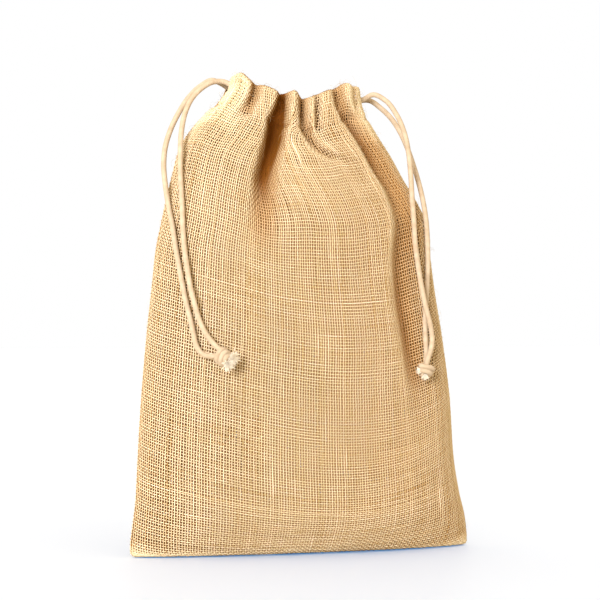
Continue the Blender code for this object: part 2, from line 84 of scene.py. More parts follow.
# Fine rows of each part, before its weft yarns are spaced.
BASE_ROWS, FOOT_ROWS, WALL_ROWS, CROWN_ROWS, TURNED_ROWS = 9, 13, 131, 16, 12
SECTION_SAMPLES = 500  # fine samples along a section
CROWDING = 1.3  # how much closer the warp yarns lie in a full fold, as a share
SLIGHT_FOLD = 8 * MM  # depth up to which a fold leaves them as they are
FULL_FOLD = 15 * MM  # depth at which a fold has them at their closest
DEEPEST = 16 * MM  # depth of the deepest fold, where the painted fold shade is fullest

# Weave.
ENDS = 139  # warp yarns in each panel
PICKS = 176  # weft yarns from the bottom seam to the fold of the hem
TURNED_PICKS = 20  # and over the hem's crown and down inside
WARP_SIZE = (1.05 * MM, 0.50 * MM)  # width and thickness of a warp yarn
WEFT_SIZE = (1.02 * MM, 0.50 * MM)
YARN_BACK, YARN_RIDGE = -0.32, 0.68  # where they lie from its line, as shares of its thickness
BACK_YARNS = 1.40  # how many times as wide the back's are drawn
CRIMP = 0.23 * MM  # how far a yarn bends out over the one it crosses
WARP_OUT = 0.04 * MM  # how much further out the warp lies
LOWEST_YARN = 0.52 * MM  # least height of its line
# A yarn's own difference, then its swings: how much, and about how many crossings one takes.
SIZE_OWN, SIZE_SWINGS = 0.05, ((0.07, 22), (0.07, 4))
TONE_OWN, TONE_SWINGS = 0.09, ((0.13, 14), (0.12, 3))
WANDER_OWN, WANDER_SWINGS = 0.07 * MM, ((0.08 * MM, 9), (0.05 * MM, 3))  # sideways
SIZE_LIMITS = (0.62, 1.75)
SLUB_EVERY, SLUB_FROM, SLUB_MOST = 15, 1.0, 0.8  # its swing, and the part of it that counts
SLUB_SIZE, SLUB_TONE = 0.7, 0.35  # what that part is multiplied by

# Side seams and hem.
ALLOWANCE = 3  # warp yarns folded in at each side seam
ALLOWANCE_PITCH = 1.5 * MM  # their spacing
ALLOWANCE_SHIFT = 0.4  # how much nearer to the seam they lie, as a share of it
ALLOWANCE_IN = 0.95 * MM  # their distance from the middle between the faces
NOTCH_PICKS = 11  # weft yarns below the hem's fold that stop short of the seams
NOTCH_ENDS = 5  # warp yarns on each side of a side seam that stop below it
NOTCH_SHADE = 0.48  # how much of the painted shade between the yarns is taken off beside the notches
NOTCH_BESIDE, NOTCH_BELOW = 20, 22  # warp and weft yarns that this reaches
NOTCH_SOFT = 6  # yarns that it fades over
BOTTOM_PICKS = 8  # weft yarns above the bottom seam over which the painted shade between the yarns comes in
TURNED_FROM, TURNED_SHADE = 3, 0.75  # picks past the fold, and how much of the painted shade between the yarns is taken off from there
TURNED_TO_SEAM = 10  # weft yarns past the fold that reach the side seams
SEAM_PICK = PICKS - 11  # weft yarn that the hem is stitched down on
SEAM_SINK = 0.7 * MM  # how far its stitches pull the cloth in
SEAM_REACH = 1.2  # weft yarns that they pull in on each side
STITCH_ENDS = 3  # warp yarns from one stitch to the next
STITCH_LIFT = (-0.5, 0.2, -0.5)  # mm, its height over each of them
STITCH_FOLD = 3 * MM  # deepest fold that shows its stitches
# The stitches' tone, and how much of the painted fold shade they are given.
STITCH_TONE, STITCH_FOLD_SHADE = 0.45, 0.35
STITCH_THREAD = 0.42 * MM  # diameter

# Loose jute hairs.
HAIRS = 1500  # on each face
HAIR = 0.11 * MM  # diameter of one at its root
HAIR_LENGTHS = (2.0, 6.5)  # mm
HAIR_RISES = (0.1, 0.45)  # how far it stands out, as a share of its length
HAIR_BEND = 2.6  # radians of a wave along it
HAIR_CURL = 0.5
HAIR_ROOT = 0.55 * MM  # how far out of the yarns' lines it starts
HAIR_TONES = (0.2, 1.0)
LOWEST_HAIR = 0.4 * MM

# Colours, as they show on a screen.
JUTE_TONES = (
    (0.0, (176, 144, 92)),
    (0.3, (214, 195, 156)),
    (0.7, (236, 221, 190)),
    (1.0, (246, 231, 208)),
)
JUTE_FOLD_SHADE = (206, 174, 132)  # painted shade for jute in a shallow fold
JUTE_DEEP_SHADE = (122, 68, 26)  # painted shade for jute far inside a deep one
JUTE_FLANK_SHADE = (168, 112, 30)  # painted shade on the sides of its yarns
JUTE_INSIDE_SHADE = (94, 54, 10)  # painted shade on the inner side of the cloth, and deep between its yarns
# Shares of the deepest fold, and of the way off a yarn's ridge, between which these painted shades
# come in.
SHALLOW_SHADE_SPAN, DEEP_SHADE_SPAN, FLANK_SHADE_SPAN, INSIDE_SHADE_SPAN = (0.03, 0.42), (0.42, 0.74), (0.24, 0.58), (0.54, 0.86)
STREAKS = 0.5  # how much its fibres change a yarn's tone
COTTON_COLOURS = ((179, 159, 134), (197, 180, 157))
TIP_COLOURS = ((240, 230, 212), (253, 248, 238))
MOTTLE = 260.0  # how fine the cotton's mottle is

# Drawcords.
CORD = 3.0 * MM  # diameter
CORD_GAP = 0.75 * MM  # clearance between a cord and the cloth around it
UPPER_CORD = 4.9 * MM  # depth of the left one below the hem's top
LOWER_CORD = 8.5 * MM  # and of the right one
HEM_TOP_MIDDLE = 259.3 * MM  # height of the line that they run below, at the middle
HEM_TOP_LEFT, HEM_TOP_RIGHT = 271.5 * MM, 268.5 * MM  # and at its ends
CHANNEL_MIDDLE = 8.4 * MM  # how far from the mouth's centre line they run, at its middle
CHANNEL_END = 3.8 * MM  # and where they come out
CHANNEL_TURN = 0.70  # share of the mouth's half width at which a cord turns back
CHANNEL_EXIT = 0.93  # and at which its hanging ends begin
CHANNEL_POINTS, TURN_POINTS = 18, 9
LIE = CORD / 2 + 0.9 * MM  # a cord's centre above the cloth it lies on
LEAD = 6.0 * MM  # straight run of a hanging end out of the hem
CORD_STEP = 1.5 * MM  # spacing of the points along a cord
SPAN_SAMPLES = 24  # fine samples between two points of a route
STITCH_POINTS, HAIR_POINTS, FRAYED_POINTS = 7, 5, 6  # points along each
STRIP_EDGE = 0.04  # margin of a strand's strip in the UV map, as a share of its width


def table(kind, *rows):
    """The rows of a table, each made into its kind."""
    return [kind(*row) for row in rows]


class Level(NamedTuple):
    """The outside of the pouch at one height, in mm."""

    height: float
    left: float  # x of the left side
    right: float  # x of the right side
    front: float  # depth of the front's middle
    back: float  # depth of the back's middle
    square: float  # 2 is a lens, more is squarer


LEVELS = table(
    Level,
    (0, -97.4, 98, 11, 11, 2.2), (0.7, -99, 99.6, 12.6, 12.6, 2.2),
    (2.6, -100.2, 100.2, 14.8, 14.8, 2.2), (7, -100, 100, 18.6, 18.4, 2.3),
    (18, -98.7, 98.4, 26, 25.4, 2.4), (32, -97, 94.8, 30.6, 29.8, 2.5),
    (54, -95.9, 91.2, 32.6, 31.8, 2.5), (86, -94, 89, 32.8, 32.5, 2.5),
    (120, -91.2, 84.6, 32.4, 31, 2.5), (150, -88, 79.6, 31.4, 30, 2.5),
    (172, -85.6, 76.7, 30.7, 29, 2.5), (188, -82.4, 75.2, 30, 28.5, 2.5),
    (202, -79.4, 68.8, 29.5, 28, 2.5), (216, -76, 60, 29, 27.5, 2.6),
    (229, -72.5, 52.6, 28, 27, 2.7), (240, -66, 45.2, 26.5, 26, 3),
    (250, -57.2, 39, 25, 25, 3.3), (258, -49.8, 35.2, 24, 24, 3.6),
    (264, -46, 34, 23.8, 23.8, 3.8), (270, -45, 33.4, 23.5, 23.5, 4),
)
ROUND = 0.60  # how full a section is towards its sides
FULLER_RIGHT = 0.12  # how far right of its middle the front is fullest, as a share


class TopEdge(NamedTuple):
    """The hem's top edge, in mm."""

    across: float
    front: float
    back: float


TOP_EDGE = table(
    TopEdge,
    (-45, 270, 269), (-40.5, 272.3, 270.5), (-36, 268.5, 268.5),
    (-31.5, 265.6, 267), (-25, 263.6, 264), (-16, 260.6, 262.5),
    (-10.5, 262, 260), (-4.4, 258, 261), (3, 260.2, 259), (9, 262.6, 262.5),
    (16, 264.8, 263), (23, 268, 267), (28, 266.8, 269), (33.5, 268, 268),
)


class Crease(NamedTuple):
    """A fold where it crosses one height, in mm."""

    height: float
    across: float
    left: float  # reach to the left of its line
    right: float  # reach to the right
    depth: float
    steep: float = 2.0  # 2 is a soft trough, more has steeper walls


# Each fold's rows are the values of a Crease, from the top down.
FRONT_FOLDS = {
    "deep_pleat": (
        (272, -15, 2.8, 2.2, 11.5, 2.6), (262, -15.6, 4.4, 2.4, 13, 3),
        (250, -17.4, 7, 2.8, 16, 3.4), (240, -18.9, 7.6, 2.5, 16, 3.2),
        (231, -21.6, 7.6, 3, 14, 2.8), (222, -25, 6.6, 4.2, 12.5, 2.5),
        (214, -27.2, 6.6, 5.6, 11, 2.3), (205, -27.6, 7, 6.6, 9.2, 2.1),
        (194, -28.6, 8, 8.4, 6.8), (180, -29, 10.5, 12, 3.8), (156, -27, 16, 18, 0),
    ),
    "ear_groove": (
        (272, -30.4, 2.4, 1.8, 8), (263, -31.8, 2.8, 1.9, 8.2), (254, -36.2, 3.8, 2.8, 5),
        (247, -41, 6, 5, 0),
    ),
    "middle_crease": (
        (272, -4.4, 2.8, 2, 8.5), (258, -4.6, 2.8, 2.2, 9), (248, -3.6, 2.9, 2.3, 8),
        (241.7, -1.4, 3, 2.2, 6.5), (235.5, 2, 3.6, 2.6, 5), (231, 6.7, 4.5, 3.2, 4),
        (228, 11.5, 5.5, 4, 3), (224.5, 20, 7, 5, 0),
    ),
    "slit": (
        (272, 3, 1.8, 1.8, 2.6), (256, 3.2, 1.8, 1.7, 4.4), (246, 3.2, 2.2, 2.2, 2.8),
        (239, 3.5, 2.8, 2.8, 0),
    ),
    "right_fold": (
        (272, 14.5, 3, 3.4, 6.5), (260, 16.5, 3, 4.4, 7.8), (249, 21.8, 3.2, 7, 9),
        (234, 31, 3.2, 11, 9.5), (220, 38.6, 3.6, 13, 8.8), (204, 48.4, 4, 14, 7.6),
        (188, 52.6, 4.6, 15, 6.8), (165, 50.6, 5.4, 15, 5.6), (145, 51.6, 6, 14, 5.2),
        (113, 57, 7, 12, 5), (92, 60.5, 8, 11, 3), (60, 64, 9, 11, 0),
    ),
    "right_ear": (
        (272, 26.6, 2, 2.4, 3), (262, 27, 2.2, 2.6, 3.6), (250, 30, 3, 3.4, 2),
        (240, 34, 4, 4, 0),
    ),
}
FINE_CREASE = {  # too fine for the model: the line along the foot of the right fold
    "foot_of_right_fold": (
        (192, 53.4, 4, 4.6, 0), (176, 52, 3.6, 4.4, 1.4), (160, 51.2, 3.4, 4.2, 2),
        (145, 52.2, 3.4, 4.2, 2.4), (126, 55.4, 3.4, 4.2, 2.6), (110, 58.2, 3.6, 4.6, 2.2),
        (92, 61.2, 4.4, 5.4, 0),
    ),
}
BACK_FOLDS = {
    "left_pleat": (
        (272, -30, 3, 3, 7.5), (256, -32, 3.6, 3.6, 8), (236, -42, 5, 5, 5.5),
        (205, -54, 8, 8, 3), (160, -58, 12, 12, 0),
    ),
    "inner_left_pleat": (
        (272, -17, 2.8, 2.8, 8.5), (252, -18.5, 3.2, 3.2, 9.5), (232, -22, 5, 5, 5.5),
        (206, -25, 8, 8, 0),
    ),
    "centre_pleat": (
        (272, -4, 3, 3, 9), (250, -3, 4, 4, 11), (228, 0, 6, 6, 7), (200, 3, 10, 10, 3),
        (165, 4, 14, 14, 0),
    ),
    "inner_right_pleat": (
        (272, 9, 2.8, 2.8, 8), (252, 10.5, 3.2, 3.2, 8.5), (234, 15, 5, 5, 4.5),
        (212, 20, 8, 8, 0),
    ),
    "right_pleat": (
        (272, 21.5, 2.8, 2.8, 6.5), (254, 24, 3.4, 3.4, 7), (236, 32, 5, 5, 5),
        (205, 45, 8, 8, 2.5), (170, 49, 12, 12, 0),
    ),
}


class Pull(NamedTuple):
    """How far the front's weft yarns sag, at a share of the way up the panel, in mm."""

    up: float
    across: float  # where they hang lowest
    drop: float
    left: float  # reach to the left of it
    right: float


FRONT_PULL = table(
    Pull,
    (0.00, 0, 0, 30, 40), (0.10, 10, 4, 52, 50), (0.25, 20, 10, 66, 60),
    (0.40, 22, 12, 68, 110), (0.56, 14, 11, 58, 140), (0.71, -10, 8.5, 34, 90),
    (0.85, -22, 3, 20, 50), (1.00, -16, 0, 20, 20),
)

# The four hanging ends, from the hem to the knot, in mm. Each first hangs clear of the cloth, and
# a row there is x, height and y. Then it lies on the front, and a row there is x, height, and how
# much further out it is than a cord on the cloth.
LEFT_FRONT_HANGS = (
    (-54, 267, -4.3), (-60.2, 263.2, -4.8), (-65.6, 257.4, -5.2),
    (-69.6, 249.2, -6.4), (-72.2, 238.6, -9.4), (-73.4, 226, -12.4),
)
LEFT_FRONT_LIES = (
    (-73.2, 212, 1.4), (-72.8, 198, 0.6), (-72.6, 184, 0.4), (-72, 171, 1),
    (-70.8, 160, 2.2), (-69.4, 150, 3), (-67.3, 140.8, 2.8), (-64.8, 132.2, 2.2),
    (-61.4, 125, 1.8), (-57.2, 119.4, 1.8), (-53.2, 115.4, 2.6),
)
LEFT_BACK_HANGS = (
    (-52.6, 269.4, 3.6), (-59, 266, 3.4), (-66, 259.2, 2.2), (-72, 250, 1.2),
    (-76.8, 240.2, 0.6), (-80, 230.2, -0.6), (-81.4, 218.6, -4),
    (-80.8, 207.6, -6.6),
)
LEFT_BACK_LIES = (
    (-79.4, 197, 1.5), (-77.9, 185.6, 0.9), (-76.4, 173, 0.1), (-74.8, 162.6, 0),
    (-73.2, 152.6, 0), (-71.5, 143, 0), (-69.5, 134, 0), (-67.7, 125.4, 0),
    (-66.3, 118.6, 0.3), (-63.6, 114.4, 0.9), (-59.4, 112.8, 1.6),
    (-55.4, 113.2, 2.2), (-51.8, 112.6, 2.6),
)
RIGHT_FRONT_HANGS = (
    (40.4, 263.4, -4.4), (47.5, 259.8, -7.4), (53.4, 251.4, -9.8),
    (57.6, 240.4, -11.8), (59.4, 230, -13.2), (60.4, 218, -14.2),
)
RIGHT_FRONT_LIES = (
    (61.3, 204, 1.2), (61.4, 190, 0.8), (61.4, 177.5, 1.4), (62.4, 163.6, 2.4),
    (63.8, 151.6, 3.8), (65.4, 142, 4.6), (67.6, 133.8, 4.6), (69.4, 127, 4.2),
    (69.9, 120.6, 3.8), (68.6, 114.6, 3.6), (66.6, 109.4, 3.4), (65.2, 105, 3.2),
)
RIGHT_BACK_HANGS = (
    (41, 261.2, 3.8), (47.8, 257.2, 4), (53.8, 251.2, 2.6), (58.6, 243.6, 1),
    (62, 235, -1.2), (64.7, 225.6, -3.8), (67.2, 215, -6.6), (69.2, 204, -9.2),
)
RIGHT_BACK_LIES = (
    (70.6, 192, 0.9), (71.1, 178, 0.3), (70.6, 163.6, 0), (68.9, 149.6, 0),
    (67.3, 137, 0), (66.8, 126.4, 0), (67.2, 116.6, 0), (66.9, 107, 0.3),
)
ROUTES = {
    "left_cord_front": (LEFT_FRONT_HANGS, LEFT_FRONT_LIES),
    "left_cord_back": (LEFT_BACK_HANGS, LEFT_BACK_LIES),
    "right_cord_front": (RIGHT_FRONT_HANGS, RIGHT_FRONT_LIES),
    "right_cord_back": (RIGHT_BACK_HANGS, RIGHT_BACK_LIES),
}


class Knot(NamedTuple):
    """A knot that lies on the front, in mm and degrees."""

    across: float
    height: float
    out: float  # how far its centre stands off the cloth
    axis: float  # way its turns are wound along, up from +X
    towards: float  # and how far that way is turned towards the viewer
    turns: float
    reach: float  # radius of the turns in the plane of the front
    depth: float  # and square to it
    start: float  # where round its axis the winding begins


LEFT_KNOT = Knot(-52, 112, 5.4, -14, 52, 2.4, 4.9, 3.7, 200)
RIGHT_KNOT = Knot(66, 103.8, 5, -98, 12, 2.1, 4.4, 2.8, 150)
KNOT_TAPER = 0.24  # how much smaller each turn of a knot is than the one before


class Frayed(NamedTuple):
    """A cord's frayed end, from the knot's centre, in mm and degrees."""

    across: float
    out: float
    up: float
    way: float  # way that it points, up from +X
    towards: float  # and how far it is turned towards the viewer
    length: float
    spread: float  # radius of its tip
    fibres: int


LEFT_ENDS = (
    Frayed(0.6, 4, -2.6, -66, 62, 3.8, 3.8, 170),
    Frayed(2.8, 4, -0.2, 4, 62, 3.8, 3.8, 170),
)
RIGHT_ENDS = (
    Frayed(-3, 0.4, 0.2, 192, 10, 2.2, 1.7, 60),
    Frayed(-0.8, 0.2, -2, 258, 10, 2.5, 2.1, 70),
)
KNOT_POINTS = 36  # path points in each turn
KNOT_PITCH = 0.84  # from turn to turn, as a share of the cord's diameter
KNOT_TUCK, TUCK_TURN = 0.45, 0.18  # how far its two ends are tucked in, and over how much of a turn
COTTON_FIBRE = 0.36 * MM  # diameter
FRAYED_ROOT = 1.3  # mm, radius of a frayed end where it begins
FRAYED_FLARE = 1.6  # more opens it nearer its tip
FRAYED_CURL = 0.63 * MM  # how far its tip strays
FRAYED_LENGTHS, FRAYED_SIZES = (0.7, 1.08), (0.7, 1.3)  # least and most of a fibre, as shares


# ---- form of the pouch


def between(t, start, end, leaving, arriving):
    """A cubic from one value to the next, with its slopes over the whole span at both."""
    return (
        start * (1 + 2 * t) * (1 - t) ** 2
        + leaving * t * (1 - t) ** 2
        + end * t * t * (3 - 2 * t)
        + arriving * t * t * (t - 1)
    )


def smooth(at, places, values):
    """Values read at any place, on a curve that doesn't overshoot the table."""
    places, values = np.asarray(places, float), np.asarray(values, float)
    span = np.diff(places)
    slope = np.diff(values) / span
    tangent = np.concatenate([slope[:1], np.zeros(len(slope) - 1), slope[-1:]])
    before, after = slope[:-1], slope[1:]
    same_way = before * after > 0
    total = np.where(same_way, before + after, 1.0)
    tangent[1:-1] = np.where(same_way, 2 * before * after / total, 0.0)
    at = np.clip(np.asarray(at, float), places[0], places[-1])
    i = np.clip(np.searchsorted(places, at) - 1, 0, len(span) - 1)
    t = (at - places[i]) / span[i]
    return between(t, values[i], values[i + 1], tangent[i] * span[i], tangent[i + 1] * span[i])


def read_table(rows, place):
    """The row that a table would have at any place. A row's first value is its place."""
    places, *columns = zip(*rows)
    return type(rows[0])(place, *(smooth(place, places, values) for values in columns))


def sides_at(height):
    """x of the pouch's two sides."""
    level = read_table(LEVELS, height / MM)
    return MM * level.left, MM * level.right


def fold_depth(folds, height, across):
    """How far the folds draw the cloth in at these points."""
    total = np.zeros(np.broadcast(height, across).shape)
    for rows in folds.values():
        crease = read_table([Crease(*row) for row in sorted(rows)], height / MM)
        line = MM * crease.across
        reach = MM * np.where(across < line, crease.left, crease.right)
        share = np.exp(-(np.abs((across - line) / reach) ** crease.steep))
        total = total + MM * crease.depth * share
    return total


def channel(share):
    """How far the cords run from the mouth's centre line, at a share of its half width."""
    return CHANNEL_MIDDLE - (CHANNEL_MIDDLE - CHANNEL_END) * np.abs(share) ** 6


def across_at(height, share):
    """x at a share of the pouch's half width."""
    left, right = sides_at(height)
    return (left + right) / 2 + share * (right - left) / 2


def mouth_across(share):
    return across_at(TOP, share)


def cord_height(share):
    """Height of the line, smooth along the hem's top, that the cords run below."""
    ends = np.where(np.asarray(share) < 0, HEM_TOP_LEFT, HEM_TOP_RIGHT)
    return HEM_TOP_MIDDLE + (ends - HEM_TOP_MIDDLE) * np.abs(share) ** 1.8


def top_edge(share, face):
    """Height of the hem's top at a share of the mouth's half width."""
    return MM * getattr(read_table(TOP_EDGE, mouth_across(share) / MM), face)


def outside(height, share, face):
    """Points on the outside of one face, at a height and at a share of its half width."""
    across = across_at(height, share)
    level = read_table(LEVELS, height / MM)
    fuller = FULLER_RIGHT * (1 - (height / TOP) ** 4) if face == "front" else 0.0
    off_middle = np.abs(share - fuller * (1 - share**2))
    body = MM * getattr(level, face) * (1 - off_middle**level.square) ** ROUND
    folds = FRONT_FOLDS if face == "front" else BACK_FOLDS
    depth = body - fold_depth(folds, height, across) * (1 - np.abs(share) ** 8)
    clear = channel(share) + CORD / 2 + CORD_GAP + CLOTH
    near_hem = np.clip((height - TOP + HEM + HEM_BELOW) / HEM_BELOW, 0, 1)
    held_off = np.maximum(depth, np.minimum(clear, body))
    depth = depth + near_hem * (held_off - depth)
    sag = (top_edge(share, face) - TOP) * (height / TOP) ** 4
    return np.stack([across, -OUTWARD[face] * depth, height + sag + 0 * across], axis=-1)


def front_surface(across, height):
    """y of the front's outside at this place, in metres."""
    left, right = sides_at(height)
    share = np.clip((across - (left + right) / 2) / ((right - left) / 2), -0.995, 0.995)
    level = height - (top_edge(share, "front") - TOP) * (height / TOP) ** 4
    return float(outside(np.array(level), np.array(share), "front")[1])


def distances(points):
    """How far along a path each of its points is."""
    steps = np.linalg.norm(np.diff(points[:, :3], axis=0), axis=1)
    return np.concatenate([[0.0], np.cumsum(steps)])


def read_along(points, wanted, along=None):
    """The path's points at these distances along it, or at these values of another measure."""
    along = distances(points) if along is None else along
    return np.stack([np.interp(wanted, along, axis) for axis in points.T], axis=-1)


def crowded(section):
    """Points of a section where its warp yarns lie, closer together in its folds."""
    steps = np.diff(distances(section))
    fold = (section[1:, 3] - SLIGHT_FOLD) / (FULL_FOLD - SLIGHT_FOLD)
    weight = 1 + CROWDING * np.clip(fold, 0, 1)
    measure = np.concatenate([[0.0], np.cumsum(steps * weight)])
    return read_along(section, (np.arange(ENDS) + 0.5) / ENDS * measure[-1], measure)


def spaced(points, count):
    """The same path with this many points at even distances."""
    return read_along(points, np.linspace(0, distances(points)[-1], count))


# ---- cords


def smooth_path(points, step):
    """A smooth curve through the points, read at even steps."""
    along = distances(points)
    tangents = np.gradient(points, along, axis=0)
    fine = []
    for i in range(len(points) - 1):
        span = along[i + 1] - along[i]
        leaving, arriving = tangents[i] * span, tangents[i + 1] * span
        for t in np.linspace(0, 1, SPAN_SAMPLES, endpoint=i == len(points) - 2):
            fine.append(between(t, points[i], points[i + 1], leaving, arriving))
    fine = np.array(fine)
    return spaced(fine, max(4, round(distances(fine)[-1] / step) + 1))


def channel_route(drop, exit_side):
    """One cord's way through the hem: front, round the far side, and back."""
    share = np.linspace(exit_side * CHANNEL_EXIT, -exit_side * CHANNEL_TURN, CHANNEL_POINTS)
    angle = np.linspace(0, math.pi, TURN_POINTS)[1:-1]
    radius = channel(CHANNEL_TURN)
    turn = mouth_across(share[-1]) - exit_side * radius * np.sin(angle)
    turn_share = (turn - mouth_across(0)) / (mouth_across(1) - mouth_across(0))
    x = np.concatenate([mouth_across(share), turn, mouth_across(share[::-1])])
    y = np.concatenate([-channel(share), -radius * np.cos(angle), channel(share[::-1])])
    share = np.concatenate([share, turn_share, share[::-1]])
    return np.stack([x, y, cord_height(share) - drop], axis=-1)


def hem_exit(in_hem, face):
    """Two points that carry on straight from one end of the cord in the hem."""
    end, before = in_hem[:2] if face == "front" else in_hem[:-3:-1]
    onward = (end - before) / np.linalg.norm(end - before)
    return [end, end + onward * LEAD]


def route_points(route, first):
    """The route's points in metres, with those that lie on the front set on it."""
    hangs, lies = (np.array(rows) * MM for rows in route)
    points = list(first) + [(x, y, height) for x, height, y in hangs]
    for x, height, lift in lies:
        points.append((x, front_surface(x, height) - LIE - lift, height))
    return np.array(points)


def add_object(name, data, finish=None):
    made = bpy.data.objects.new(name, data)
    bpy.context.scene.collection.objects.link(made)
    if finish:
        data.materials.append(finish)
    return made


def round_section(diameter, sides):
    angles = 2 * math.pi * np.arange(sides) / sides
    return np.stack([np.cos(angles), np.sin(angles)], axis=-1) * diameter / 2


def yarn_section(width, thickness, out):
    """A yarn's section: its flat back and its ridge, which points out along this local axis."""
    out = np.array(out, float)
    beside = np.array([-out[1], out[0]])
    low, high = YARN_BACK * thickness * out, YARN_RIDGE * thickness * out
    return np.array([low + beside * width / 2, high, low - beside * width / 2])


def section_curve(name, corners):
    """The outline that a yarn or cord is drawn with, as a closed curve."""
    outline = bpy.data.curves.new(name, "CURVE")
    outline.dimensions = "2D"
    spline = outline.splines.new("POLY")
    spline.points.add(len(corners) - 1)
    for point, corner in zip(spline.points, corners, strict=True):
        point.co = (*corner, 0.0, 1.0)
    spline.use_cyclic_u = True
    return add_object(name, outline)


def strands(name, paths, sizes, section, finish, upright=False, marks=None, ridge=None):
    """One piece of many strands, each a closed tube along its path.

    Its UV map holds a strip for each strand: the share of its length, then its place in the row.
    A mark is a value for each point of each path, kept as an attribute. Where a section has a
    ridge, an attribute that carries the painted shade of a yarn's sides is 0 on it and 1 on the
    section's other corners.
    """
    outline = section_curve(name + "_section", section)
    line = bpy.data.curves.new(name, "CURVE")
    line.dimensions = "3D"
    line.bevel_mode = "OBJECT"
    line.bevel_object = outline
    line.use_fill_caps = True
    line.twist_mode = "Z_UP" if upright else "MINIMUM"
    for path, size in zip(paths, sizes, strict=True):
        spline = line.splines.new("POLY")
        spline.points.add(len(path) - 1)
        spline.points.foreach_set("co", np.c_[path, np.ones(len(path))].ravel())
        spline.points.foreach_set("radius", np.broadcast_to(size, len(path)).ravel())
        spline.use_smooth = True
    holder = add_object(name + "_line", line)
    bpy.context.view_layer.update()
    ready = holder.evaluated_get(bpy.context.evaluated_depsgraph_get())
    mesh = bpy.data.meshes.new_from_object(ready)
    mesh.name = name
    for helper in (holder, outline):
        bpy.data.curves.remove(helper.data)
    mark_strands(mesh, paths, len(section), marks or {})
    # Painted shade: this attribute marks a yarn's sides, off its ridge, to be drawn darker.
    if ridge is not None:
        flank_shade = mesh.attributes.new("flank_shade", "FLOAT", "POINT")
        flank_shade.data.foreach_set("value", np.arange(len(mesh.vertices)) % len(section) != ridge)
    shape = bmesh.new()
    shape.from_mesh(mesh)
    bmesh.ops.remove_doubles(shape, verts=shape.verts, dist=1e-7)
    bmesh.ops.recalc_face_normals(shape, faces=shape.faces)
    shape.to_mesh(mesh)
    shape.free()
    mesh.shade_smooth()
    return add_object(name, mesh, finish)


def mark_strands(mesh, paths, sides, marks):
    """Writes the strips and the marks. The tubes' caps come first, last strand first."""
    count = len(paths)
    lengths = np.array([len(path) for path in paths])
    starts = np.concatenate([[0], np.cumsum(lengths)[:-1]])
    caps = 2 * sides * count
    ring = (np.arange(len(mesh.vertices)) - caps) // sides
    cap = np.arange(caps) // sides  # last strand's end, last strand's start, and so on
    strand = count - 1 - cap // 2
    ring[:caps] = np.where(cap % 2 == 0, starts[strand] + lengths[strand] - 1, starts[strand])
    along = np.concatenate([distances(path) / distances(path)[-1] for path in paths])
    row = np.repeat(np.arange(count), lengths)
    corner = np.empty(len(mesh.loops), dtype=np.int32)
    mesh.loops.foreach_get("vertex_index", corner)
    size = np.empty(len(mesh.polygons), dtype=np.int32)
    mesh.polygons.foreach_get("loop_total", size)
    around = corner % sides
    first = np.cumsum(size) - size
    spread = np.maximum.reduceat(around, first) - np.minimum.reduceat(around, first)
    wraps = np.repeat((spread == sides - 1) & (size == 4), size)
    around = np.where(wraps & (around == 0), sides, around)
    u = along[ring[corner]]
    v = (row[ring[corner]] + STRIP_EDGE + (1 - 2 * STRIP_EDGE) * around / sides) / count
    for layer in list(mesh.uv_layers):
        mesh.uv_layers.remove(layer)
    layer = mesh.uv_layers.new(name="OFBake")
    layer.uv.foreach_set("vector", np.c_[u, v].ravel())
    for name, values in marks.items():
        mark = mesh.attributes.new(name, "FLOAT", "POINT")
        mark.data.foreach_set("value", np.concatenate(values)[ring])


# ---- weave


def sag(up, across):
    """How far the front's weft yarns hang down here, along the cloth."""
    pull = read_table(FRONT_PULL, up)
    line = MM * pull.across
    reach = MM * np.where(across < line, pull.left, pull.right)
    return MM * pull.drop * np.exp(-(((across - line) / reach) ** 2))


def panel_surface(face):
    """Points of the panel's outside, from the bottom seam up, over the hem and down inside.

    A row for each fine step of the way and a column for each warp yarn. The fourth value of a point
    is how far the folds draw the cloth in there, which sets how close the warp yarns lie and the
    painted fold shade; a fine crease counts deeper there than it is, and the turned-in part is
    given a set depth for its painted shade.
    """
    folds = FRONT_FOLDS if face == "front" else BACK_FOLDS
    shares = -np.cos(np.linspace(0, math.pi, SECTION_SAMPLES))
    low, high = np.linspace(0, FOOT, FOOT_ROWS), np.linspace(FOOT, LAST_WALL, WALL_ROWS)
    heights = np.concatenate([low[:-1], high]) * MM
    across = (np.arange(ENDS) + 0.5) / ENDS
    wall = []
    for height in heights:
        section = outside(height, shares, face)
        drawn_in = fold_depth(folds, height, section[:, 0])
        if face == "front":
            fine = fold_depth(FINE_CREASE, height, section[:, 0])
            section[:, 1] += fine
            # A fine crease counts deeper here, for darker painted shade in it.
            drawn_in = drawn_in + FINE_DARKER * fine
        section = np.concatenate([section, drawn_in[:, None]], axis=1)
        wall.append(crowded(section))
    base = [wall[0] * (1, way_out, 1, 1) for way_out in np.linspace(0, 1, BASE_ROWS)[:-1]]
    half = PANEL_CELLS / 2
    share = TURNED_REACH * (across * PANEL_CELLS - half) / (half - TURN_CELLS)
    share = np.clip(share, -1, 1)
    away = -OUTWARD[face] * (channel(share) - CORD / 2 - CORD_GAP - CLOTH)
    top = top_edge(share, face)
    # The turned-in part is given a fold depth, for painted shade inside the mouth.
    inner = np.stack([mouth_across(share), away, top, TURNED_FOLD_SHADE + 0 * away], axis=-1)
    turned = []
    for way_in in np.linspace(0, 1, CROWN_ROWS)[1:]:
        row = wall[-1] + (inner - wall[-1]) * way_in
        lift = CROWN * (1 - abs(2 * way_in - 1) ** 3) ** 0.5
        fall = CROWN * way_in**4
        row[:, 2] = wall[-1][:, 2] + lift - fall
        turned.append(row)
    crown_end = turned[-1]
    for drop in np.linspace(0, 1, TURNED_ROWS)[1:]:
        row = crown_end.copy()
        row[:, 2] -= drop * TURNED_DROP
        turned.append(row)
    return np.array(base), np.array(wall), np.array(turned)


def normals_of(grid, outward):
    """Unit normals of a grid of points, on the side that outward says."""
    up = np.gradient(grid, axis=0)
    over = np.gradient(grid, axis=1)
    normal = np.cross(over, up)
    normal /= np.maximum(np.linalg.norm(normal, axis=-1, keepdims=True), 1e-12)
    return normal * outward


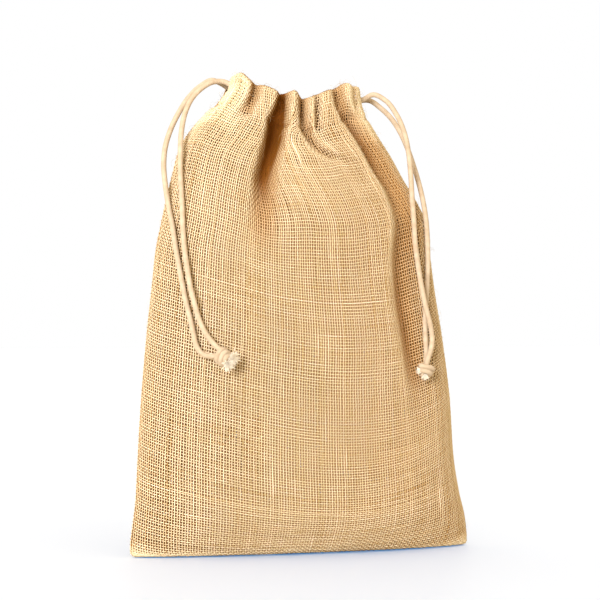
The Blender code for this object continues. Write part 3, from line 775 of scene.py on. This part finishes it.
def panel_grid(face):
    """The places where the panel's yarns cross: a row for each pick, a column for each end."""
    base, wall, turned = panel_surface(face)
    below = np.concatenate([base, wall])
    above = np.concatenate([wall[-1:], turned])
    usual = np.mean([distances(below[:, k])[-1] for k in range(ENDS)])
    grid = np.empty((PICKS + TURNED_PICKS, ENDS, 4))
    for k in range(ENDS):
        path = below[:, k]
        up = (np.arange(PICKS) + 0.5) / PICKS
        wanted = up * usual + (distances(path)[-1] - usual) * up**5
        if face == "front":
            wanted -= sag(up, read_along(path, wanted)[:, 0])
        grid[:PICKS, k] = read_along(path, wanted)
        path = above[:, k]
        wanted = (np.arange(TURNED_PICKS) + 0.5) / TURNED_PICKS * distances(path)[-1]
        grid[PICKS:, k] = read_along(path, wanted)
    drawn_in = grid[..., 3]
    grid = grid[..., :3]
    return grid - normals_of(grid, OUTWARD[face]) * CLOTH_MIDDLE, drawn_in


def drift(rng, shape, every, axis):
    """Soft random values along one axis, about -1 to 1, with a swing for this many points."""
    count = shape[axis]
    knots = max(4, int(count / every) + 3)
    size = list(shape)
    size[axis] = knots
    values = np.moveaxis(rng.normal(0, 0.6, size), axis, -1)
    at = np.linspace(0, knots - 1.001, count)
    i = at.astype(int)
    t = at - i
    t = t * t * (3 - 2 * t)
    return np.moveaxis(values[..., i] * (1 - t) + values[..., i + 1] * t, -1, axis)


def each_yarn(rng, shape, axis):
    """A random value for each of the yarns that run along this axis."""
    return rng.normal(0, 1, (1, shape[1]) if axis == 0 else (shape[0], 1))


def uneven(rng, shape, axis, values, swings):
    """The values with soft swings along the yarns."""
    for amount, every in swings:
        values = values + amount * drift(rng, shape, every, axis)
    return values


def yarn_sizes(rng, shape, axis):
    """How thick each yarn is along its length, as a share of its plain size, and its tone."""
    size = np.exp(SIZE_OWN * each_yarn(rng, shape, axis))
    size = size * uneven(rng, shape, axis, 1, SIZE_SWINGS)
    slubs = np.clip(drift(rng, shape, SLUB_EVERY, axis) - SLUB_FROM, 0, SLUB_MOST)
    tone = 0.5 + TONE_OWN * each_yarn(rng, shape, axis)
    tone = uneven(rng, shape, axis, tone, TONE_SWINGS) + SLUB_TONE * slubs
    return np.clip(size + SLUB_SIZE * slubs, *SIZE_LIMITS), np.clip(tone, 0, 1)


def with_allowance(grid, outward):
    """The panel's grid with the warp yarns folded in behind it at both side seams."""
    sides = []
    for edge, way_in in ((grid[:, :1], 1), (grid[:, -1:], -1)):
        more = []
        for k in range(1, ALLOWANCE + 1):
            fold = edge.copy()
            fold[..., 0] += way_in * ALLOWANCE_PITCH * (k - ALLOWANCE_SHIFT)
            fold[..., 1] = -outward * ALLOWANCE_IN
            more.append(fold)
        sides.append(more)
    return np.concatenate(sides[0][::-1] + [grid] + sides[1], axis=1)


def woven_panel(face, crossings, finish, seed):
    """Both sets of yarns of one panel, as a warp piece and a weft piece."""
    rng = np.random.default_rng(seed)
    grid, drawn_in = crossings
    outward = OUTWARD[face]
    grid = with_allowance(grid, outward)
    drawn_in = np.pad(drawn_in, ((0, 0), (ALLOWANCE, ALLOWANCE)), mode="edge")
    shape = grid.shape[:2]
    normal = normals_of(grid, outward)
    up = np.gradient(grid, axis=0)
    up /= np.linalg.norm(up, axis=-1, keepdims=True)
    over = np.cross(up, normal)
    pick, end = np.arange(shape[0])[:, None], np.arange(shape[1])
    from_seam = np.minimum(end, shape[1] - 1 - end) - ALLOWANCE
    # The hem is open beside the side seams, and no yarns cross there.
    notch = (from_seam < NOTCH_ENDS) & (pick >= PICKS - NOTCH_PICKS)
    unturned = (from_seam < TURN_CELLS * ENDS / PANEL_CELLS) & (pick >= PICKS + TURNED_TO_SEAM)
    woven = ~(notch | unturned)
    beside_notch = np.clip((NOTCH_ENDS + NOTCH_BESIDE - from_seam) / NOTCH_SOFT, 0, 1)
    beside_notch = beside_notch * np.clip((pick - PICKS + NOTCH_BELOW) / NOTCH_SOFT, 0, 1)
    # Painted shade: the fold depth sets the painted fold shade, and the painted shade between the
    # yarns is taken off near the bottom seam, in the turned-in part and beside the notches.
    fold_shade = np.clip(drawn_in / DEEPEST, 0, 1)
    turned_in = TURNED_SHADE * (pick > PICKS + TURNED_FROM)
    less_flank_shade = np.maximum(1 - pick / BOTTOM_PICKS, turned_in) + 0 * fold_shade
    less_flank_shade = np.maximum(less_flank_shade, NOTCH_SHADE * beside_notch)
    crimp = np.where((pick + end) % 2, CRIMP, -CRIMP)
    sink = SEAM_SINK * np.exp(-(((pick - SEAM_PICK) / SEAM_REACH) ** 2))
    pieces = []
    for name, axis, lift, sideways, yarn, out in (
        ("warp", 0, crimp + WARP_OUT, over, WARP_SIZE, (0, -1)),
        ("weft", 1, -crimp, up, WEFT_SIZE, (outward, 0)),
    ):
        size, tone = yarn_sizes(rng, shape, axis)
        wander = uneven(rng, shape, axis, 0, WANDER_SWINGS)
        wander = wander + WANDER_OWN * each_yarn(rng, shape, axis)
        points = grid + normal * (lift - sink)[..., None] + sideways * wander[..., None]
        points[..., 2] = np.maximum(points[..., 2], LOWEST_YARN * size)
        values = [points, size, tone, fold_shade, less_flank_shade, woven]
        if name == "warp":
            values = [value.swapaxes(0, 1) for value in values]
        crossed = [np.flatnonzero(yarn_woven) for yarn_woven in values.pop()]
        paths, sizes, *marks = (
            [value[k][there] for k, there in enumerate(crossed) if len(there) > 2]
            for value in values
        )
        marks = dict(zip(("tone", "fold_shade", "less_flank_shade"), marks, strict=True))
        width, thickness = yarn
        width *= BACK_YARNS if face == "back" else 1.0
        section = yarn_section(width, thickness, out)
        upright = name == "weft"
        pieces.append(
            strands(f"{face}_{name}", paths, sizes, section, finish, upright, marks, ridge=1)
        )
    return pieces


def hem_stitches(face, crossings, finish):
    """The thread that holds the hem down, two ends over and one under."""
    grid, drawn_in = crossings
    normal = normals_of(grid, OUTWARD[face])
    lift = np.array(STITCH_LIFT)[:, None]
    paths = []
    for k in range(NOTCH_ENDS + 1, ENDS - NOTCH_ENDS - STITCH_ENDS, STITCH_ENDS):
        stitch = (SEAM_PICK, slice(k, k + STITCH_ENDS))
        if drawn_in[stitch].max() > STITCH_FOLD:
            continue
        paths.append(spaced(grid[stitch] + normal[stitch] * lift * MM, STITCH_POINTS))
    # The stitches take a set tone and part of the painted fold shade.
    marks = {
        name: [np.full(STITCH_POINTS, value)] * len(paths)
        for name, value in (("tone", STITCH_TONE), ("fold_shade", STITCH_FOLD_SHADE))
    }
    thread = round_section(STITCH_THREAD, 6)
    return strands(face + "_hem_stitches", paths, [1.0] * len(paths), thread, finish, marks=marks)


def stray_fibres(face, crossings, finish, seed):
    """Loose jute hairs that stand out of the yarns."""
    rng = np.random.default_rng(seed)
    grid, drawn_in = crossings
    normal = normals_of(grid, OUTWARD[face])
    paths, tones, folds = [], [], []
    for _ in range(HAIRS):
        root = rng.integers(3, PICKS + 8), rng.integers(1, ENDS - 1)
        out = normal[root]
        way = np.cross(out, rng.normal(0, 1, 3))
        way /= np.linalg.norm(way)
        curl = np.cross(out, way) * rng.normal(0, HAIR_CURL)
        length, rise = rng.uniform(*HAIR_LENGTHS) * MM, rng.uniform(*HAIR_RISES)
        path = [
            grid[root]
            + out * (HAIR_ROOT + length * rise * math.sin(HAIR_BEND * t))
            + (way * t + curl * t * t) * length
            for t in np.linspace(0, 1, HAIR_POINTS)
        ]
        path = np.array(path)
        path[:, 2] = np.maximum(path[:, 2], LOWEST_HAIR)
        paths.append(path)
        tones.append(np.full(HAIR_POINTS, rng.uniform(*HAIR_TONES)))
        # A hair takes the painted fold shade of the place it grows from.
        folds.append(np.full(HAIR_POINTS, min(drawn_in[root] / DEEPEST, 1.0)))
    sizes = [np.linspace(1.0, 0.5, HAIR_POINTS)] * HAIRS
    marks = {"tone": tones, "fold_shade": folds}
    hair = round_section(HAIR, 3)
    return strands(face + "_stray_fibres", paths, sizes, hair, finish, marks=marks)


# ---- materials


def linear(red, green, blue):
    """A screen colour, from 0 to 255, as the shader's linear values."""
    values = [value / 255 for value in (red, green, blue)]
    return [v / 12.92 if v < 0.04045 else ((v + 0.055) / 1.055) ** 2.4 for v in values]


def screen(values):
    """The screen colour of linear values, from 0 to 255."""
    return tuple(
        255 * (v * 12.92 if v < 0.0031308 else 1.055 * v ** (1 / 2.4) - 0.055) for v in values
    )


def new_material(name, roughness, sheen=0.0, specular=0.25):
    made = bpy.data.materials.new(name)
    made.use_nodes = True
    shader = made.node_tree.nodes["Principled BSDF"]
    shader.inputs["Roughness"].default_value = roughness
    shader.inputs["Sheen Weight"].default_value = sheen
    shader.inputs["Specular IOR Level"].default_value = specular
    return made, made.node_tree.nodes, made.node_tree.links, shader


def ramp(nodes, stops):
    made = nodes.new("ShaderNodeValToRGB")
    elements = made.color_ramp.elements
    while len(elements) < len(stops):
        elements.new(0.5)
    for element, (place, colour) in zip(elements, stops, strict=True):
        element.position = place
        element.color = (*linear(*colour), 1.0)
    return made


def attribute(nodes, name):
    made = nodes.new("ShaderNodeAttribute")
    made.attribute_name = name
    return made.outputs["Fac"]


def mixed(nodes, links, factor, first, second):
    """A mix of two colours, each a socket or a screen colour."""
    made = nodes.new("ShaderNodeMix")
    made.data_type = "RGBA"
    links.new(factor, made.inputs["Factor"])
    for name, colour in (("A", first), ("B", second)):
        socket = next(s for s in made.inputs if s.name == name and s.type == "RGBA")
        if isinstance(colour, tuple):
            socket.default_value = (*linear(*colour), 1.0)
        else:
            links.new(colour, socket)
    return next(s for s in made.outputs if s.type == "RGBA")


def arithmetic(nodes, links, operation, *values):
    """The outcome of an operation on values, each a socket or a number."""
    made = nodes.new("ShaderNodeMath")
    made.operation = operation
    for socket, value in zip(made.inputs, values):
        if isinstance(value, (int, float)):
            socket.default_value = value
        else:
            links.new(value, socket)
    return made.outputs["Value"]


def eased(nodes, links, value, low, high):
    """0 up to the low value, 1 from the high one on, and a soft rise between."""
    made = nodes.new("ShaderNodeMapRange")
    made.interpolation_type = "SMOOTHSTEP"
    made.inputs["From Min"].default_value = low
    made.inputs["From Max"].default_value = high
    links.new(value, made.inputs["Value"])
    return made.outputs["Result"]


def fibre_relief():
    """A node group: fine fibres drawn out along a strand, as a mask and as relief."""
    made = bpy.data.node_groups.new("fibre_relief", "ShaderNodeTree")
    for way, name, kind in (
        ("INPUT", "Strip", "Vector"), ("INPUT", "Along", "Float"), ("INPUT", "Around", "Float"),
        ("INPUT", "Depth", "Float"), ("OUTPUT", "Fibre", "Float"), ("OUTPUT", "Normal", "Vector"),
    ):
        made.interface.new_socket(name, in_out=way, socket_type="NodeSocket" + kind)
    nodes, links = made.nodes, made.links
    given, wanted = nodes.new("NodeGroupInput"), nodes.new("NodeGroupOutput")
    drawn = nodes.new("ShaderNodeCombineXYZ")
    links.new(given.outputs["Along"], drawn.inputs["X"])
    links.new(given.outputs["Around"], drawn.inputs["Y"])
    stretched = nodes.new("ShaderNodeVectorMath")
    stretched.operation = "MULTIPLY"
    links.new(given.outputs["Strip"], stretched.inputs[0])
    links.new(drawn.outputs["Vector"], stretched.inputs[1])
    fibre = nodes.new("ShaderNodeTexNoise")
    fibre.inputs["Scale"].default_value = 1.0
    links.new(stretched.outputs["Vector"], fibre.inputs["Vector"])
    relief = nodes.new("ShaderNodeBump")
    links.new(fibre.outputs["Fac"], relief.inputs["Height"])
    links.new(given.outputs["Depth"], relief.inputs["Distance"])
    links.new(fibre.outputs["Fac"], wanted.inputs["Fibre"])
    links.new(relief.outputs["Normal"], wanted.inputs["Normal"])
    return made


def relief_on(nodes, links, shader, group, along, around, depth):
    """Lays the fibre relief on a material and gives its mask."""
    relief = nodes.new("ShaderNodeGroup")
    relief.node_tree = group
    place = nodes.new("ShaderNodeTexCoord")
    links.new(place.outputs["UV"], relief.inputs["Strip"])
    for name, value in (("Along", along), ("Around", around), ("Depth", depth)):
        relief.inputs[name].default_value = value
    links.new(relief.outputs["Normal"], shader.inputs["Normal"])
    return relief.outputs["Fibre"]


def jute_material(group):
    """Jute yarn: streaked, with painted shade, darker and redder, inside folds and off its ridge.
    """
    made, nodes, links, shader = new_material("jute", 0.85, specular=0.06)
    fibre = relief_on(nodes, links, shader, group, along=170.0, around=900.0, depth=0.12 * MM)
    tone = attribute(nodes, "tone")
    tone = arithmetic(nodes, links, "MULTIPLY_ADD", fibre, STREAKS, tone)
    tone = arithmetic(nodes, links, "SUBTRACT", tone, STREAKS / 2)
    tones = ramp(nodes, JUTE_TONES)
    links.new(tone, tones.inputs["Fac"])
    # Painted shade: darker, redder colours by fold depth, and on the yarns' sides and inner side
    # off their ridge, except where that shade is taken off.
    fold_shade = attribute(nodes, "fold_shade")
    flank_shade_kept = arithmetic(nodes, links, "SUBTRACT", 1.0, attribute(nodes, "less_flank_shade"))
    flank_shade = arithmetic(nodes, links, "MULTIPLY", attribute(nodes, "flank_shade"), flank_shade_kept)
    colour = tones.outputs["Color"]
    for value, between_these, turns_to in (
        (fold_shade, SHALLOW_SHADE_SPAN, JUTE_FOLD_SHADE),
        (fold_shade, DEEP_SHADE_SPAN, JUTE_DEEP_SHADE),
        (flank_shade, FLANK_SHADE_SPAN, JUTE_FLANK_SHADE),
        (flank_shade, INSIDE_SHADE_SPAN, JUTE_INSIDE_SHADE),
    ):
        share = eased(nodes, links, value, *between_these)
        colour = mixed(nodes, links, share, colour, turns_to)
    links.new(colour, shader.inputs["Base Color"])
    return made


def cotton_material(name, colours, group, along):
    """Soft cotton, mottled between two colours."""
    made, nodes, links, shader = new_material(name, 0.8, 0.1)
    relief_on(nodes, links, shader, group, along, around=9.0, depth=0.25 * MM)
    place = nodes.new("ShaderNodeTexCoord")
    mottle = nodes.new("ShaderNodeTexNoise")
    mottle.inputs["Scale"].default_value = MOTTLE
    mottle.inputs["Detail"].default_value = 3.0
    links.new(place.outputs["Object"], mottle.inputs["Vector"])
    colour = ramp(nodes, ((0.3, colours[0]), (0.7, colours[1])))
    links.new(mottle.outputs["Fac"], colour.inputs["Fac"])
    links.new(colour.outputs["Color"], shader.inputs["Base Color"])
    return made


# ---- knots


def knot_place(knot):
    across, height = knot.across * MM, knot.height * MM
    return np.array([across, front_surface(across, height) - knot.out * MM, height])


def direction(way, towards):
    """A way in the plane of the front, up from +X, turned towards the viewer, both in degrees."""
    way, towards = math.radians(way), math.radians(towards)
    return np.array(
        [math.cos(way) * math.cos(towards), -math.sin(towards), math.sin(way) * math.cos(towards)]
    )


def knot_turns(knot):
    """The cord's turns round a knot, as a path wound along its axis."""
    along = direction(knot.axis, knot.towards)
    beside = direction(knot.axis + 90.0, 0.0)
    toward = np.cross(beside, along)
    turn = np.linspace(0, knot.turns, int(KNOT_POINTS * knot.turns))
    angle = math.radians(knot.start) + 2 * math.pi * turn
    from_end = np.minimum(turn, knot.turns - turn)
    tuck = 1 - KNOT_TUCK * np.clip(1 - from_end / TUCK_TURN, 0, 1)
    path = [
        knot_place(knot)
        + along * (t - knot.turns / 2) * CORD * KNOT_PITCH
        + beside * knot.reach * MM * k * (1 - KNOT_TAPER * t) * math.cos(a)
        + toward * knot.depth * MM * k * (1 - KNOT_TAPER * t) * math.sin(a)
        for t, a, k in zip(turn, angle, tuck, strict=True)
    ]
    return np.array(path)


def frayed_fibres(knot, ends, rng):
    """Paths and sizes of the fibres of a knot's frayed ends."""
    paths, sizes = [], []
    for end in ends:
        onward = direction(end.way, end.towards)
        first = np.cross(onward, (0.0, 1.0, 0.0))
        first /= np.linalg.norm(first)
        second = np.cross(onward, first)
        root = knot_place(knot) + np.array([end.across, -end.out, end.up]) * MM
        for _ in range(end.fibres):
            angle, near = rng.uniform(0, 2 * math.pi), math.sqrt(rng.uniform(0, 1))
            out = math.cos(angle) * first + math.sin(angle) * second
            curl = rng.normal(0, FRAYED_CURL, 3)
            length = end.length * MM * rng.uniform(*FRAYED_LENGTHS)
            path = []
            for t in np.linspace(0, 1, FRAYED_POINTS):
                wide = FRAYED_ROOT + (end.spread - FRAYED_ROOT) * t**FRAYED_FLARE
                path.append(root + onward * length * t + out * wide * MM * near + curl * t * t)
            paths.append(np.array(path))
            sizes.append(np.linspace(1.0, 0.7, FRAYED_POINTS) * rng.uniform(*FRAYED_SIZES))
    return paths, sizes


# ---- stage


def aimed(made, target):
    """Turns a camera or light to look at this place."""
    turn = (Vector(target) - made.location).to_track_quat("-Z", "Y")
    made.rotation_euler = turn.to_euler()


def camera_and_light():
    """The photograph's view and light, and the paper below, which the key light leaves out."""
    scene = bpy.context.scene
    turn = math.radians(CAMERA_TURN)
    camera = add_object("camera", bpy.data.cameras.new("camera"))
    camera.location = (-CAMERA_AWAY * math.sin(turn), -CAMERA_AWAY * math.cos(turn), CAMERA_HEIGHT)
    aimed(camera, (0, 0, CAMERA_HEIGHT))
    camera.data.lens = LENS
    camera.data.sensor_width = SENSOR
    camera.data.shift_x = (PHOTO / 2 - VIEW_CENTRE[0]) / PHOTO
    camera.data.shift_y = (VIEW_CENTRE[1] - PHOTO / 2) / PHOTO
    camera.data.clip_start = 0.01
    scene.camera = camera
    scene.view_settings.view_transform = "Standard"

    world = bpy.data.worlds.new("studio")
    world.use_nodes = True
    nodes, links = world.node_tree.nodes, world.node_tree.links
    seen = nodes.new("ShaderNodeLightPath").outputs["Is Camera Ray"]
    light = mixed(nodes, links, seen, screen(SKY), (255, 255, 255))
    links.new(light, nodes["Background"].inputs["Color"])
    scene.world = world

    lamp = bpy.data.lights.new("key", "AREA")
    lamp.size = KEY_SIZE
    lamp.energy = KEY_POWER
    lamp.color = KEY_COLOUR
    key = add_object("key", lamp)
    key.location = KEY_PLACE
    aimed(key, KEY_AIM)

    reach = PAPER_REACH
    data = bpy.data.meshes.new("floor")
    corners = [(-reach, -reach, 0), (reach, -reach, 0), (reach, reach, 0), (-reach, reach, 0)]
    data.from_pydata(corners, [], [(0, 1, 2, 3)])
    floor = add_object("floor", data, paper_material())
    floor.location = (0, 0, -PAPER_DROP)
    shadowless = bpy.data.collections.new("out_of_the_key_light")
    shadowless.objects.link(floor)
    key.light_linking.receiver_collection = shadowless
    shadowless.collection_objects[0].light_linking.link_state = "EXCLUDE"


def paper_material():
    """White paper that shows evenly white: it glows for the camera by what the sky falls short."""
    made, nodes, links, shader = new_material("pale_paper", 0.5)
    shader.inputs["Base Color"].default_value = (PAPER, PAPER, PAPER, 1.0)
    shader.inputs["Emission Color"].default_value = (*[PAPER_WHITE - PAPER * v for v in SKY], 1.0)
    seen = nodes.new("ShaderNodeLightPath").outputs["Is Camera Ray"]
    links.new(seen, shader.inputs["Emission Strength"])
    return made


# ---- the pouch


camera_and_light()
FIBRES = fibre_relief()
JUTE = jute_material(FIBRES)
COTTON = cotton_material("cotton", COTTON_COLOURS, FIBRES, along=160.0)
TIPS = cotton_material("frayed_cotton", TIP_COLOURS, FIBRES, along=6.0)

CORD_SECTION = round_section(CORD, 12)
FIBRE_SECTION = round_section(COTTON_FIBRE, 3)
rng = np.random.default_rng(11)
for side, knot, ends, drop, exit_side in (
    ("left", LEFT_KNOT, LEFT_ENDS, UPPER_CORD, -1),
    ("right", RIGHT_KNOT, RIGHT_ENDS, LOWER_CORD, 1),
):
    in_hem = smooth_path(channel_route(drop, exit_side), CORD_STEP)
    hidden = strands(side + "_drawcord_in_hem", [in_hem], [1.0], CORD_SECTION, COTTON)
    turns = strands(side + "_knot_turns", [knot_turns(knot)], [1.0], CORD_SECTION, COTTON)
    fibres, sizes = frayed_fibres(knot, ends, rng)
    tuft = strands(side + "_frayed_fibres", fibres, sizes, FIBRE_SECTION, TIPS)
    for piece, slot, node in (
        (hidden, "cotton", "_cord_in_hem"),
        (turns, "cotton", "_knot"),
        (tuft, "frayed_cotton", "_frayed_ends"),
    ):
        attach(piece, "root")
        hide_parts(side + node)
    for face in ("front", "back"):
        node = f"{side}_cord_{face}"
        path = smooth_path(route_points(ROUTES[node], hem_exit(in_hem, face)), CORD_STEP)
        strand = strands(node + "_strand", [path], [1.0], CORD_SECTION, COTTON)
        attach(strand, "root")
        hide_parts(node)

for face, seed in (("front", 3), ("back", 4)):
    crossings = panel_grid(face)
    warp, weft = woven_panel(face, crossings, JUTE, seed)
    stitches = hem_stitches(face, crossings, JUTE)
    hairs = stray_fibres(face, crossings, JUTE, seed)
    for piece in (warp, weft, stitches, hairs):
        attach(piece, "root")
    for piece in (warp, weft):
        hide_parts("pouch")
